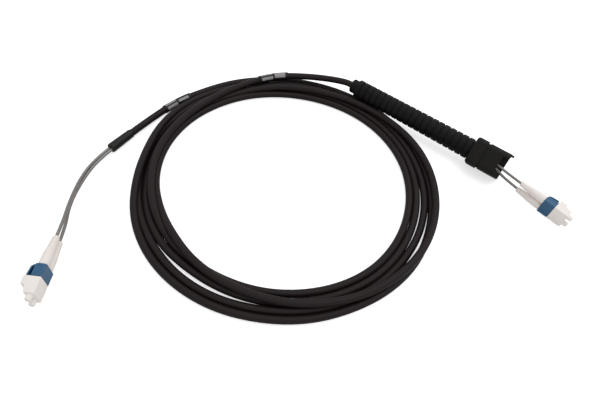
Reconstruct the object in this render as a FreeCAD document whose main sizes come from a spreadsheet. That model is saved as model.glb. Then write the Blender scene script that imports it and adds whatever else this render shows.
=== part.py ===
import FreeCAD, Part
import math
import os

import Sketcher

Vector = FreeCAD.Vector
Rotation = FreeCAD.Rotation
Placement = FreeCAD.Placement

# Driving dimensions, all in millimetres, degrees where the name says so.
# Plug sizes run along the plug: zero at the dust cap's rear rim, plus towards the nose.
SIZES = {
    # Cable, legs and the coil that they lie in
    "cable_od": 5.0,
    "leg_od": 2.0,
    "coil_inner_radius": 84.5,
    "coil_outer_radius": 103.2,
    "coil_height": 9.4,
    "coil_outer_bevel": 8.4,
    "coil_inner_bevel": 6.0,
    "coil_shift_across": -1.5,
    "coil_shift_away": -2.5,
    "label_wall": 0.5,
    "label_clearance": 0.05,
    "leg_spacing": 2.06,
    # Shrink sleeves where the cable splits into its two legs
    "sleeve_od": 6.7,
    "sleeve_bore_clearance": 0.05,
    "sleeve_length": 21.5,
    # Long ribbed boot and its head
    "boot_length": 105.0,
    "boot_tail_od": 10.8,
    "boot_tail_length": 5.0,
    "boot_rear_od": 13.8,
    "boot_front_od": 15.4,
    "boot_ribs": 20.0,
    "boot_rib_share": 0.62,
    "boot_core_rear_od": 11.6,
    "boot_core_front_od": 13.0,
    "boot_bore_clearance": 0.1,
    "boot_chamber_od": 8.0,
    "boot_chamber_length": 19.0,
    "boot_spigot_length": 4.0,
    "head_side": 19.8,
    "head_length": 27.0,
    "head_wall": 1.8,
    "head_back_wall": 5.0,
    "head_corner": 3.6,
    "head_collar_side": 20.6,
    "head_collar_length": 8.5,
    "head_groove_side": 18.6,
    "head_roll_degrees": -45.0,
    "head_groove_length": 1.8,
    "head_lip_length": 2.2,
    "head_lip_thickness": 1.0,
    "head_lip_width": 9.0,
    # Plug pair: pitch, housings and what is inside them
    "ferrule_pitch": 6.25,
    "housing_side": 4.52,
    "housing_front": 8.8,
    "housing_rear": -6.5,
    "housing_nose_bevel": 0.5,
    "housing_cavity_side": 3.1,
    "housing_front_bore": 2.4,
    "ferrule_seat": 4.7,
    "ferrule_diameter": 1.25,
    "ferrule_tip": 11.2,
    "flange_across_flats": 2.6,
    "flange_length": 1.3,
    "stem_side": 1.1,
    "stem_length": 4.3,
    "spring_rear": -2.2,
    "spring_mean_radius": 1.05,
    "spring_wire": 0.3,
    "spring_turns": 3.0,
    "spring_end_gap": 0.05,
    "rear_body_clearance": 0.05,
    "rear_body_flange_length": 1.4,
    "rear_body_barrel_flats": 2.6,
    "rear_body_end": -13.0,
    "crimp_across_flats": 3.6,
    "crimp_clearance": 0.03,
    "crimp_end": -15.5,
    # Latch arms
    "latch_root": 6.2,
    "latch_root_height": 3.1,
    "latch_end": -1.4,
    "latch_end_height": 5.1,
    "latch_thickness": 0.8,
    "latch_gap": 0.15,
    "latch_width": 2.6,
    "latch_lug_width": 4.3,
    "latch_lug_front": 3.4,
    "latch_lug_length": 1.4,
    # Duplex clip and its trigger
    "clip_front": -0.3,
    "clip_length": 7.6,
    "clip_width": 12.4,
    "clip_wall": 0.75,
    "clip_window_clearance": 0.05,
    "clip_edge": 0.6,
    "trigger_width": 9.4,
    "trigger_thickness": 0.9,
    "trigger_gap": 0.15,
    "trigger_tip": -0.7,
    "trigger_tip_height": 6.2,
    "trigger_bend_height": 5.5,
    "trigger_bend_radius": 2.4,
    # Dust cap
    "cap_length": 10.0,
    "cap_width": 12.3,
    "cap_floor": 0.7,
    "cap_clearance": 0.06,
    "cap_front_height": 2.95,
    "cap_step": 5.3,
    "cap_step_height": 4.35,
    "cap_rim_height": 6.5,
    "cap_wall": 0.7,
    "cap_edge": 0.5,
    "cap_nose_od": 3.0,
    "cap_nose_length": 3.3,
    "cap_nose_bore": 1.7,
    "cap_nose_end_wall": 1.2,
    # Strain relief boots of the plugs
    "relief_front": -8.0,
    "relief_barrel_od": 5.3,
    "relief_barrel_length": 10.0,
    "relief_tail_od": 4.4,
    "relief_end_od": 3.6,
    "relief_neck_od": 3.2,
    "relief_length": 19.5,
    "relief_rings": 3.0,
    "relief_ring_share": 0.6,
    "relief_crimp_clearance": 0.1,
    "relief_leg_clearance": 0.05,
}

# Where things lie on the table, seen from above with X to the right and Y away.
# Every place is measured from the coil's middle, which lies here in the part's frame.
COIL_MIDDLE = Vector(-34.13, 7.773, 0)
BOOT_TAIL = Vector(38.8, 96.6, 0)
BOOT_HEADING = -29.0
PLUG_A_PLACE = Vector(-123.4, -106.0, 0)
PLUG_A_HEADING = -87.0
PLUG_B_BEYOND_HEAD = Vector(32.75, -26.4, 0)
PLUG_B_HEADING = -40.0

# Free stretches of the cable's two ends. End A's heights are above a cable that lies flat,
# end B's are above the table.
TAIL_A_FREE = [(-46.5, 91.6, 0.1)]
TAIL_A_LABEL = [(-71.5, 77.5, 0.0), (-93.0, 56.2, 0.0)]
TAIL_A_SLEEVE = [(-108.6, 28.6, 0.0), (-120.6, 4.0, 0.0)]
TAIL_B_FREE = [(-51.5, 82.7, 8.3), (-24.1, 98.6, 9.0), (7.0, 103.6, 11.8)]
TAIL_B_BEHIND_BOOT = -11.5

# Free stretches of the legs: those of end A over the table, those of end B off the head's front.
LEG_A_FREE = {
    "upper": [(-131.6, -27.0, 3.6), (-129.4, -50.0, 6.6)],
    "lower": [(-129.2, -27.0, 1.3), (-127.9, -50.0, 1.4)],
}
LEG_A_HELD_START = -35.0
LEG_B_HELD_START = -38.5
LEG_A_FIRST_RUN = 16.0
LEG_B_FIRST_RUN = 14.0

# Sides of the many-sided bars that stand for round pieces, and straight steps in a spring's turn.
COIL_SIDES = 48
BOOT_SIDES = 16
CABLE_SIDES = 12
LABEL_SIDES = 10
RELIEF_SIDES = 10
LEG_SIDES = 8
SPRING_STEPS = 8

doc = FreeCAD.newDocument("patch_cord")
dims = doc.addObject("Spreadsheet::Sheet", "dims")
for row, (size_name, size) in enumerate(SIZES.items(), 1):
    dims.set(f"A{row}", size_name)
    dims.set(f"B{row}", str(size))
    dims.setAlias(f"B{row}", size_name)
doc.recompute()

nodes = []


def keep(piece, label):
    """Give a finished piece its name and list it for writing."""
    piece.Label = label
    nodes.append(piece)
    return piece


def number(expression):
    """Work out an expression of the sheet's sizes."""
    return float(dims.evalExpression(expression))


def size_of(name):
    """Read one size back from the sheet."""
    return float(dims.get(name))


def new_body(name):
    return doc.addObject("PartDesign::Body", name)


def plane_of(body, role):
    return next(feature for feature in body.Origin.OriginFeatures if feature.Role == role)


def bind(sketch, kind, geometry, point, expression):
    """Hold one point of a sketch at a signed distance from its origin."""
    rule = Sketcher.Constraint(kind, -1, 1, geometry, point, number(expression))
    sketch.setExpression(f"Constraints[{sketch.addConstraint(rule)}]", expression)


def outline(body, role, corners):
    """Draw a closed outline whose corners are pairs of expressions."""
    sketch = body.newObject("Sketcher::SketchObject", body.Name + "_outline")
    sketch.AttachmentSupport = (plane_of(body, role), [""])
    sketch.MapMode = "FlatFace"
    spots = [Vector(number(across), number(up), 0) for across, up in corners]
    count = len(spots)
    for index in range(count):
        sketch.addGeometry(Part.LineSegment(spots[index], spots[(index + 1) % count]), False)
    for index in range(count):
        sketch.addConstraint(Sketcher.Constraint("Coincident", index, 2, (index + 1) % count, 1))
    for index, (across, up) in enumerate(corners):
        bind(sketch, "DistanceX", index, 1, across)
        bind(sketch, "DistanceY", index, 1, up)
    return sketch


def pad(body, sketch, length, both_ways=True):
    feature = body.newObject("PartDesign::Pad", body.Name + "_pad")
    feature.Profile = sketch
    feature.SideType = "Symmetric" if both_ways else "One side"
    feature.setExpression("Length", length)
    doc.recompute()
    return feature


def pocket(body, sketch, length, both_ways=True, reverse=False):
    """Cut a sketch through the body, and make sure that it took something away."""
    before = body.Shape.Volume
    feature = body.newObject("PartDesign::Pocket", body.Name + "_pocket")
    feature.Profile = sketch
    feature.SideType = "Symmetric" if both_ways else "One side"
    feature.Reversed = reverse
    feature.setExpression("Length", length)
    doc.recompute()
    if body.Shape.Volume >= before - 1e-6:
        raise ValueError(f"{body.Name}: a pocket cut nothing")
    return feature


def turn(body, corners, cut=False):
    """Turn an outline of (along, radius) pairs about the body's X axis."""
    before = body.Shape.Volume if cut else 0
    sketch = outline(body, "XY_Plane", corners)
    kind = "PartDesign::Groove" if cut else "PartDesign::Revolution"
    feature = body.newObject(kind, body.Name + "_turn")
    feature.Profile = sketch
    feature.ReferenceAxis = (sketch, ["H_Axis"])
    feature.Angle = 360
    doc.recompute()
    if cut and body.Shape.Volume >= before - 1e-6:
        raise ValueError(f"{body.Name}: a groove cut nothing")
    return feature


def dress(body, feature, kind, edges, amount):
    """Round or bevel the edges that a test picks."""
    names = [f"Edge{index}" for index, edge in enumerate(feature.Shape.Edges, 1) if edges(edge)]
    finish = body.newObject("PartDesign::" + kind, body.Name + "_" + kind.lower())
    finish.Base = (feature, names)
    finish.setExpression("Radius" if kind == "Fillet" else "Size", amount)
    doc.recompute()
    return finish


def runs_along(edge, axis):
    """True for a straight edge that runs along an axis."""
    if edge.Curve.TypeId != "Part::GeomLine":
        return False
    return abs(edge.tangentAt(edge.FirstParameter).dot(axis)) > 0.999


def box_along(body, rear, front, side, cut=False):
    """Pad or cut a centred square bar from rear to front along X."""
    corners = [(rear, f"-{side} / 2"), (front, f"-{side} / 2"), (front, f"{side} / 2"), (rear, f"{side} / 2")]
    sketch = outline(body, "XZ_Plane", corners)
    return pocket(body, sketch, side) if cut else pad(body, sketch, side)


def prism(body, sides, flats, start, length, cut=False, role="YZ_Plane"):
    """Add or cut a many-sided bar of that width across flats, standing off one of the body's planes."""
    before = body.Shape.Volume if cut else 0
    kind = "PartDesign::SubtractivePrism" if cut else "PartDesign::AdditivePrism"
    feature = body.newObject(kind, body.Name + "_prism")
    feature.AttachmentSupport = (plane_of(body, role), [""])
    feature.MapMode = "FlatFace"
    feature.Polygon = sides
    feature.Refine = False
    feature.setExpression("Circumradius", f"({flats}) / 2 / cos({180 / sides})")
    feature.setExpression("Height", length)
    feature.setExpression("AttachmentOffset.Base.z", start)
    doc.recompute()
    if cut and body.Shape.Volume >= before - 1e-6:
        raise ValueError(f"{body.Name}: a prism cut nothing")
    return feature


def route_path(points, places):
    """Straight runs joined by the largest tangent arcs that their corners allow."""
    spots = [Vector(*point) for point in points]
    runs = [(after - before).Length for before, after in zip(spots, spots[1:])]
    edges = []
    arcs = {}
    start = spots[0]
    for corner in range(1, len(spots) - 1):
        back = (spots[corner - 1] - spots[corner]).normalize()
        ahead = (spots[corner + 1] - spots[corner]).normalize()
        half_turn = (math.pi - back.getAngle(ahead)) / 2
        reach = 0.45 * min(runs[corner - 1], runs[corner])
        radius = reach / math.tan(half_turn)
        middle = spots[corner] + (back + ahead).normalize() * (radius / math.cos(half_turn) - radius)
        entry = spots[corner] + back * reach
        leave = spots[corner] + ahead * reach
        edges.append(Part.LineSegment(start, entry).toShape())
        arcs[corner] = Part.Arc(entry, middle, leave).toShape()
        edges.append(arcs[corner])
        places.append(round(radius, 1))
        start = leave
    edges.append(Part.LineSegment(start, spots[-1]).toShape())
    return Part.Wire(edges), arcs


def sweep(name, wire, radius, sides):
    """Sweep a many-sided section along a path."""
    path = doc.addObject("Part::Feature", name + "_path")
    path.Shape = wire
    first = wire.OrderedEdges[0]
    ring = doc.addObject("Part::RegularPolygon", name + "_section")
    ring.Polygon = sides
    ring.setExpression("Circumradius", radius)
    tangent = first.tangentAt(first.FirstParameter)
    ring.Placement = Placement(wire.OrderedVertexes[0].Point, Rotation(Vector(0, 0, 1), tangent))
    tube = doc.addObject("Part::Sweep", name)
    tube.Sections = [ring]
    tube.Spine = (path, [f"Edge{index + 1}" for index in range(len(wire.Edges))])
    tube.Solid = True
    tube.Frenet = False
    tube.Transition = "Right corner"
    doc.recompute()
    return tube


def cord(label, points, diameter, sides):
    """A length of cable or leg along its route, with its radii and volume printed."""
    radii = []
    wire, arcs = route_path(points, radii)
    tube = keep(sweep(label, wire, f"{diameter} / 2", sides), label)
    section = sides / 2 * math.sin(2 * math.pi / sides) * number(diameter) ** 2 / 4
    ratio = tube.Shape.Volume / (section * wire.Length)
    print(f"{label}: length {wire.Length:.1f}, radii {radii}, volume ratio {ratio:.4f}")
    return arcs


def coil():
    """The coiled stretch as one flat ring, as wide and high as its turns lie."""
    body = new_body("cable_coil_body")
    height = "dims.coil_height"
    room = "(dims.coil_outer_radius - dims.coil_inner_radius)"
    outer = prism(body, COIL_SIDES, "dims.coil_outer_radius * 2", "0", height, role="XY_Plane")
    top = size_of("coil_height")
    dress(body, outer, "Chamfer", lambda edge: abs(edge.CenterOfMass.z - top) < 1e-6,
          f"min(dims.coil_outer_bevel; {room} * 0.45; {height} * 0.9)")
    hole = prism(body, COIL_SIDES, "dims.coil_inner_radius * 2", "-1", f"{height} + 2", cut=True, role="XY_Plane")
    rim = size_of("coil_inner_radius") * 1.02
    dress(body, hole, "Chamfer", lambda edge: abs(edge.CenterOfMass.z - top) < 1e-6
          and math.hypot(edge.CenterOfMass.x, edge.CenterOfMass.y) < rim,
          f"min(dims.coil_inner_bevel; {room} * 0.45; {height} * 0.9)")
    shift = Vector(size_of("coil_shift_across"), size_of("coil_shift_away"), 0)
    body.Placement = Placement(COIL_MIDDLE + shift, Rotation())
    return keep(body, "cable_coil")


def label_sleeve(label, arc):
    """A bare printed-label sleeve shrunk round the bend of a cable end."""
    inner = "dims.cable_od / 2 + dims.label_clearance"
    wire = Part.Wire([arc])
    sleeve = doc.addObject("Part::Cut", label + "_cut")
    sleeve.Base = sweep(label + "_outside", wire, f"{inner} + dims.label_wall", LABEL_SIDES)
    sleeve.Tool = sweep(label + "_inside", wire, f"({inner}) / cos({180 / LABEL_SIDES})", LABEL_SIDES)
    doc.recompute()
    return keep(sleeve, label)


def along(start, heading, height):
    """Placement of a piece whose X axis runs level at a heading."""
    return Placement(start + Vector(0, 0, height), Rotation(Vector(0, 0, 1), heading))


def on_table(points, height):
    """Points measured from the coil's middle, lifted to a height."""
    return [COIL_MIDDLE + Vector(*point) + Vector(0, 0, height) for point in points]


def breakout_sleeve(label, placement):
    """Shrink sleeve over the cable's end and the start of its legs."""
    body = new_body(label + "_body")
    prism(body, CABLE_SIDES, "dims.sleeve_od", "0", "dims.sleeve_length")
    prism(body, CABLE_SIDES, "dims.cable_od + 2 * dims.sleeve_bore_clearance", "-1", "dims.sleeve_length + 2", cut=True)
    body.Placement = placement
    return keep(body, label)


def many_sided(body, sides, flats, start):
    """Draw a many-sided outline of that width across flats, standing off the body's YZ plane."""
    corner = f"({flats}) / 2 / cos({180 / sides})"
    turns = [360 * index / sides for index in range(sides)]
    sketch = outline(body, "YZ_Plane", [(f"{corner} * cos({angle})", f"{corner} * sin({angle})") for angle in turns])
    sketch.setExpression("AttachmentOffset.Base.z", start)
    return sketch


def ribbed_boot(placement):
    """Long boot: tapered outside, slit into ribs down to the core that runs from tail to spigot."""
    body = new_body("bend_boot_body")
    length, tail = "dims.boot_length", "dims.boot_tail_length"
    whole = f"{length} + dims.boot_spigot_length"
    outside = body.newObject("PartDesign::AdditiveLoft", "bend_boot_taper")
    outside.Profile = many_sided(body, BOOT_SIDES, "dims.boot_rear_od", tail)
    outside.Sections = [many_sided(body, BOOT_SIDES, "dims.boot_front_od", length)]
    outside.Ruled = True
    doc.recompute()
    pitch = f"(({length} - {tail}) / dims.boot_ribs)"
    core = f"dims.boot_tail_od / 2 / cos({180 / BOOT_SIDES})"
    slit_sketch = many_sided(body, BOOT_SIDES, "dims.boot_tail_od", f"{tail} + {pitch}")
    slit_sketch.addGeometry(Part.Circle(Vector(), Vector(0, 0, 1), number(core) * 2), False)
    slit_sketch.addConstraint(Sketcher.Constraint("Coincident", -1, 1, BOOT_SIDES, 3))
    rule = Sketcher.Constraint("Radius", BOOT_SIDES, number(core) * 2)
    slit_sketch.setExpression(f"Constraints[{slit_sketch.addConstraint(rule)}]", f"{core} * 2")
    slit = pocket(body, slit_sketch, f"{pitch} * (1 - dims.boot_rib_share)", both_ways=False)
    slits = body.newObject("PartDesign::LinearPattern", "bend_boot_slits")
    slits.Originals = [slit]
    slits.Direction = (plane_of(body, "X_Axis"), [""])
    slits.setExpression("Length", f"{pitch} * (dims.boot_ribs - 2)")
    slits.setExpression("Occurrences", "dims.boot_ribs - 1")
    body.Tip = slits
    doc.recompute()
    inside = body.newObject("PartDesign::AdditiveLoft", "bend_boot_core")
    inside.Profile = many_sided(body, BOOT_SIDES, "dims.boot_core_rear_od", tail)
    inside.Sections = [many_sided(body, BOOT_SIDES, "dims.boot_core_front_od", length)]
    inside.Ruled = True
    doc.recompute()
    prism(body, BOOT_SIDES, "dims.boot_tail_od", "0", whole)
    prism(body, CABLE_SIDES, "dims.cable_od + 2 * dims.boot_bore_clearance", "-1", f"{whole} + 2", cut=True)
    prism(body, CABLE_SIDES, "dims.boot_chamber_od", f"{length} - dims.boot_chamber_length",
          "dims.boot_chamber_length + dims.boot_spigot_length + 1", cut=True)
    body.Placement = placement
    return keep(body, "bend_boot")


def boot_head(placement):
    """Square head on the boot's spigot: collar, groove, body, open mouth and a lip."""
    body = new_body("boot_head_body")
    rear = "dims.boot_length"
    collar = f"{rear} + dims.head_collar_length"
    groove = f"{collar} + dims.head_groove_length"
    front = f"{rear} + dims.head_length"
    box_along(body, rear, collar, "dims.head_collar_side")
    box_along(body, collar, groove, "dims.head_groove_side")
    main = box_along(body, groove, front, "dims.head_side")
    lip = outline(body, "XZ_Plane", [
        (groove, "dims.head_side / 2 - dims.head_lip_thickness"),
        (f"{front} + dims.head_lip_length", "dims.head_side / 2 - dims.head_lip_thickness"),
        (f"{front} + dims.head_lip_length", "dims.head_side / 2"), (groove, "dims.head_side / 2")])
    main = pad(body, lip, "dims.head_lip_width")
    along_x = Vector(1, 0, 0)
    dress(body, main, "Fillet", lambda edge: runs_along(edge, along_x) and outer_corner(edge), "dims.head_corner")
    inner = "(dims.head_side - 2 * dims.head_wall)"
    back = f"{rear} + dims.head_back_wall"
    corners = [(back, f"-{inner} / 2"), (front, f"-{inner} / 2"), (front, f"{inner} / 2"), (back, f"{inner} / 2")]
    pocket(body, outline(body, "XZ_Plane", corners), inner)
    prism(body, BOOT_SIDES, "dims.boot_tail_od + 2 * dims.boot_bore_clearance", f"{rear} - 1",
          "dims.head_back_wall + 2", cut=True)
    body.Placement = placement
    return keep(body, "boot_head")


def outer_corner(edge):
    """True for an edge far out from the head's axis in both directions."""
    spot = edge.CenterOfMass
    return abs(abs(spot.y) - abs(spot.z)) < 1e-6


def housing(label, placement):
    """Square plug front with its keyed cavity, ferrule bore and bevelled nose."""
    body = new_body(label + "_body")
    block = box_along(body, "dims.housing_rear", "dims.housing_front", "dims.housing_side")
    nose = size_of("housing_front")
    dress(body, block, "Chamfer", lambda edge: abs(edge.CenterOfMass.x - nose) < 1e-6, "dims.housing_nose_bevel")
    box_along(body, "dims.housing_rear", "dims.ferrule_seat", "dims.housing_cavity_side", cut=True)
    bore = "dims.housing_front_bore / 2"
    start, end = "dims.ferrule_seat - 0.5", "dims.housing_front + 0.5"
    turn(body, [(start, "0"), (end, "0"), (end, bore), (start, bore)], cut=True)
    body.Placement = placement
    return keep(body, label)


def ferrule(label, placement):
    """Ceramic ferrule in its keyed flange, with the stem that guides the spring."""
    body = new_body(label + "_body")
    seat, tip = "dims.ferrule_seat", "dims.ferrule_tip"
    rear = f"({seat} - dims.flange_length)"
    radius = "dims.ferrule_diameter / 2"
    turn(body, [(rear, "0"), (tip, "0"), (tip, radius), (rear, radius)])
    prism(body, 6, "dims.flange_across_flats", rear, "dims.flange_length")
    prism(body, 6, "dims.stem_side", f"{rear} - dims.stem_length", "dims.stem_length")
    body.Placement = placement
    return keep(body, label)


def spring(label, placement):
    """Helical spring between the rear body and the ferrule's flange."""
    half = size_of("spring_wire") / 2
    rear = size_of("spring_rear") + size_of("spring_end_gap") + half
    front = number("dims.ferrule_seat - dims.flange_length - dims.spring_end_gap") - half
    steps = int(size_of("spring_turns") * SPRING_STEPS)
    radius = size_of("spring_mean_radius")
    spots = []
    for step in range(steps + 1):
        angle = 2 * math.pi * step / SPRING_STEPS
        spots.append(Vector(rear + (front - rear) * step / steps, radius * math.cos(angle), radius * math.sin(angle)))
    wire = Part.Wire([Part.LineSegment(a, b).toShape() for a, b in zip(spots, spots[1:])])
    coil_wire = sweep(label + "_wire", wire, "dims.spring_wire / 2", 4)
    coil_wire.Placement = placement
    return keep(coil_wire, label)


def rear_body(label, placement):
    """Moulded rear body: spigot in the housing, square flange behind it, barrel for the crimp."""
    body = new_body(label + "_body")
    rear, end = "dims.housing_rear", "dims.rear_body_end"
    box_along(body, rear, "dims.spring_rear", "(dims.housing_cavity_side - 2 * dims.rear_body_clearance)")
    box_along(body, f"{rear} - dims.rear_body_flange_length", rear, "dims.housing_side")
    prism(body, 6, "dims.rear_body_barrel_flats", end, f"{rear} - ({end})")
    body.Placement = placement
    return keep(body, label)


def crimp_sleeve(label, placement):
    """Crimped hexagonal sleeve over the barrel and the leg's jacket."""
    body = new_body(label + "_body")
    flange_end = "(dims.housing_rear - dims.rear_body_flange_length)"
    length = f"{flange_end} - dims.crimp_end"
    prism(body, 6, "dims.crimp_across_flats", "dims.crimp_end", length)
    prism(body, 6, "dims.rear_body_barrel_flats + 2 * dims.crimp_clearance", "dims.crimp_end - 1",
          f"{length} + 2", cut=True)
    body.Placement = placement
    return keep(body, label)


def relief(label, placement):
    """Strain relief boot: smooth barrel, then a tail with rings that narrow rearwards."""
    body = new_body(label + "_body")
    front, barrel = "dims.relief_front", "dims.relief_barrel_length"
    tail = "(dims.relief_length - dims.relief_barrel_length)"
    prism(body, RELIEF_SIDES, "dims.relief_barrel_od", f"{front} - {barrel}", barrel)
    prism(body, RELIEF_SIDES, "dims.relief_neck_od", f"{front} - dims.relief_length", tail)
    rings = int(size_of("relief_rings"))
    pitch = f"({tail} / dims.relief_rings)"
    for ring in range(rings):
        width = f"dims.relief_tail_od + (dims.relief_end_od - dims.relief_tail_od) * {ring} / {rings - 1}"
        prism(body, RELIEF_SIDES, width, f"{front} - {barrel} - {pitch} * {ring + 1}",
              f"{pitch} * dims.relief_ring_share")
    prism(body, LEG_SIDES, "dims.leg_od + 2 * dims.relief_leg_clearance", f"{front} - dims.relief_length - 1",
          "dims.relief_length + 2", cut=True)
    prism(body, 6, "dims.crimp_across_flats + 2 * dims.relief_crimp_clearance",
          "dims.crimp_end - dims.relief_crimp_clearance",
          f"{front} - dims.crimp_end + dims.relief_crimp_clearance + 1", cut=True)
    body.Placement = placement
    return keep(body, label)


def latch(label, placement):
    """Springy latch arm that rises rearwards over the housing, with its two locking lugs."""
    body = new_body(label + "_body")
    root, end = "dims.latch_root", "dims.latch_end"
    base = "dims.housing_side / 2 + dims.latch_gap"
    top, thick = "dims.latch_end_height", "dims.latch_thickness"
    arm = [(root, base), (root, "dims.latch_root_height"), (end, top), (end, f"{top} - {thick}"),
           (f"{root} - 1", base)]
    pad(body, outline(body, "XZ_Plane", arm), "dims.latch_width")
    slope = f"(({top} - dims.latch_root_height) / ({root} - ({end})))"
    front, back = "dims.latch_lug_front", "(dims.latch_lug_front - dims.latch_lug_length)"
    lug = []
    for place, sink in ((front, thick), (front, "0.1"), (back, "0.1"), (back, thick)):
        lug.append((place, f"dims.latch_root_height + {slope} * ({root} - {place}) - {sink}"))
    pad(body, outline(body, "XZ_Plane", lug), "dims.latch_lug_width")
    body.Placement = placement
    return keep(body, label)


def duplex_clip(label, placement):
    """Clip that holds both plugs side by side by their rear ends."""
    body = new_body(label + "_body")
    front, rear = "dims.clip_front", "(dims.clip_front - dims.clip_length)"
    half = "dims.housing_side / 2 + dims.clip_wall"
    block = pad(body, outline(body, "XZ_Plane", [(rear, f"-({half})"), (front, f"-({half})"), (front, half), (rear, half)]),
                "dims.clip_width")
    along_x = Vector(1, 0, 0)
    dress(body, block, "Chamfer", lambda edge: runs_along(edge, along_x), "dims.clip_edge")
    window = "dims.housing_side / 2 + dims.clip_window_clearance"
    for side in ("-", ""):
        centre = f"{side}dims.ferrule_pitch / 2"
        corners = [(f"{centre} - ({window})", f"-({window})"), (f"{centre} + {window}", f"-({window})"),
                   (f"{centre} + {window}", window), (f"{centre} - ({window})", window)]
        sketch = outline(body, "YZ_Plane", corners)
        pocket(body, sketch, "dims.clip_length * 4")
    body.Placement = placement
    return keep(body, label)


def trigger(label, placement):
    """Arched trigger that stands on the clip's rear edge and reaches over both latch ends."""
    body = new_body(label + "_body")
    rear = "dims.clip_front - dims.clip_length"
    foot = "dims.housing_side / 2 + dims.clip_wall + dims.trigger_gap"
    thick, tip = "dims.trigger_thickness", "dims.trigger_tip"
    high, bend = "dims.trigger_tip_height", "dims.trigger_bend_height"
    corners = [(rear, foot), (rear, bend), (tip, high), (tip, f"{high} - {thick}"),
               (f"{rear} + {thick}", f"{bend} - {thick}"), (f"{rear} + {thick}", foot)]
    arch = pad(body, outline(body, "XZ_Plane", corners), "dims.trigger_width")
    edge_run = Vector(0, 1, 0)
    back, crown = number(rear), number(bend)
    outer = dress(body, arch, "Fillet", lambda edge: runs_along(edge, edge_run)
                  and abs(edge.CenterOfMass.x - back) < 1e-6 and abs(edge.CenterOfMass.z - crown) < 1e-6,
                  "dims.trigger_bend_radius")
    inner_x, inner_z = number(f"{rear} + {thick}"), number(f"{bend} - {thick}")
    dress(body, outer, "Fillet", lambda edge: runs_along(edge, edge_run)
          and abs(edge.CenterOfMass.x - inner_x) < 1e-6 and abs(edge.CenterOfMass.z - inner_z) < 1e-6,
          "dims.trigger_bend_radius - dims.trigger_thickness")
    body.Placement = placement
    return keep(body, label)


def dust_cap(label, placement):
    """One cap over both plug fronts: sloping top, high rear rim and two ferrule noses."""
    body = new_body(label + "_body")
    floor = "dims.housing_side / 2 + dims.cap_clearance + dims.cap_floor"
    length, step = "dims.cap_length", "dims.cap_step"
    low, high, rim = "dims.cap_front_height", "dims.cap_step_height", "dims.cap_rim_height"
    profile = [("0", f"-({floor})"), (length, f"-({floor})"), (length, low), (step, high), (step, rim), ("0", rim)]
    block = pad(body, outline(body, "XZ_Plane", profile), "dims.cap_width")
    along_x, along_y = Vector(1, 0, 0), Vector(0, 1, 0)
    front = size_of("cap_length")
    dress(body, block, "Fillet", lambda edge: runs_along(edge, along_x)
          or (runs_along(edge, along_y) and abs(edge.CenterOfMass.x - front) < 1e-6), "dims.cap_edge")
    wall = "dims.cap_wall"
    inside = "dims.housing_side / 2 + dims.cap_clearance"
    cavity = [("-1", f"-({inside})"), (f"{length} - {wall} - 0.3", f"-({inside})"), (f"{length} - {wall} - 0.3", inside),
              (step, f"{high} - {wall}"), (f"{step} - {wall}", f"{high} - {wall}"),
              (f"{step} - {wall}", f"{rim} - {wall}"), ("-1", f"{rim} - {wall}")]
    pocket(body, outline(body, "XZ_Plane", cavity), "dims.ferrule_pitch + dims.housing_side + 2 * dims.cap_clearance")
    centres = [("-dims.ferrule_pitch / 2", "0"), ("dims.ferrule_pitch / 2", "0")]
    for across, up in centres:
        nose = prism(body, RELIEF_SIDES, "dims.cap_nose_od", f"{length} - 0.5", "dims.cap_nose_length + 0.5")
        nose.setExpression("AttachmentOffset.Base.x", across)
    for across, up in centres:
        bore = prism(body, LEG_SIDES, "dims.cap_nose_bore", f"{length} - dims.cap_wall - 1",
                     "dims.cap_nose_length - dims.cap_nose_end_wall + dims.cap_wall + 1", cut=True)
        bore.setExpression("AttachmentOffset.Base.x", across)
        doc.recompute()
    body.Placement = placement
    return keep(body, label)


def plug_frame(place, heading, up):
    """Placement of a plug pair on its side, its halves one above the other."""
    height = max(size_of("clip_width"), size_of("cap_width")) / 2
    return along(place, heading, height).multiply(Placement(Vector(), Rotation(Vector(1, 0, 0), 90 * up)))


def plug_half(frame, up, half):
    """Placement of the upper or the lower plug of a pair."""
    side = up if half == "upper" else -up
    return frame.multiply(Placement(Vector(0, side * size_of("ferrule_pitch") / 2, 0), Rotation()))


def plug(letter, frame, up):
    """One duplex plug with everything in it."""
    for half in ("upper", "lower"):
        seat = plug_half(frame, up, half)
        name = f"{letter}_{half}"
        housing(f"plug_housing_{name}", seat)
        latch(f"latch_arm_{name}", seat)
        ferrule(f"ferrule_{name}", seat)
        spring(f"ferrule_spring_{name}", seat)
        rear_body(f"rear_body_{name}", seat)
        crimp_sleeve(f"crimp_sleeve_{name}", seat)
        relief(f"strain_relief_{name}", seat)
    duplex_clip(f"duplex_clip_{letter}", frame)
    trigger(f"release_trigger_{letter}", frame)
    dust_cap(f"dust_cap_{letter}", frame)


def leg_route(start, heading, run, free, seat, held_start):
    """A leg from the cable's end, along its free stretch and straight into its plug."""
    first = start + heading * run
    held = seat.multVec(Vector(held_start, 0, 0))
    end = seat.multVec(Vector(size_of("rear_body_end"), 0, 0))
    return [start, first] + free + [held, end]


coil()

# Cable end A, from under the coil to its shrink sleeve.
flat = size_of("cable_od") / 2
label_height = flat + size_of("label_clearance") + size_of("label_wall")
sleeve_height = number(f"dims.sleeve_od / 2 / cos({180 / CABLE_SIDES})") + 0.02
tail_a = on_table(TAIL_A_FREE, flat) + on_table(TAIL_A_LABEL, label_height) + on_table(TAIL_A_SLEEVE, sleeve_height)
arcs_a = cord("cable_tail_a", tail_a, "dims.cable_od", CABLE_SIDES)
label_sleeve("label_sleeve_a", arcs_a[2])
run_a = (tail_a[-1] - tail_a[-2]).normalize()
heading_a = math.degrees(math.atan2(run_a.y, run_a.x))
breakout_sleeve("breakout_sleeve_a", along(tail_a[-1] - run_a * size_of("sleeve_length") * 0.65, heading_a, 0))

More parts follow.
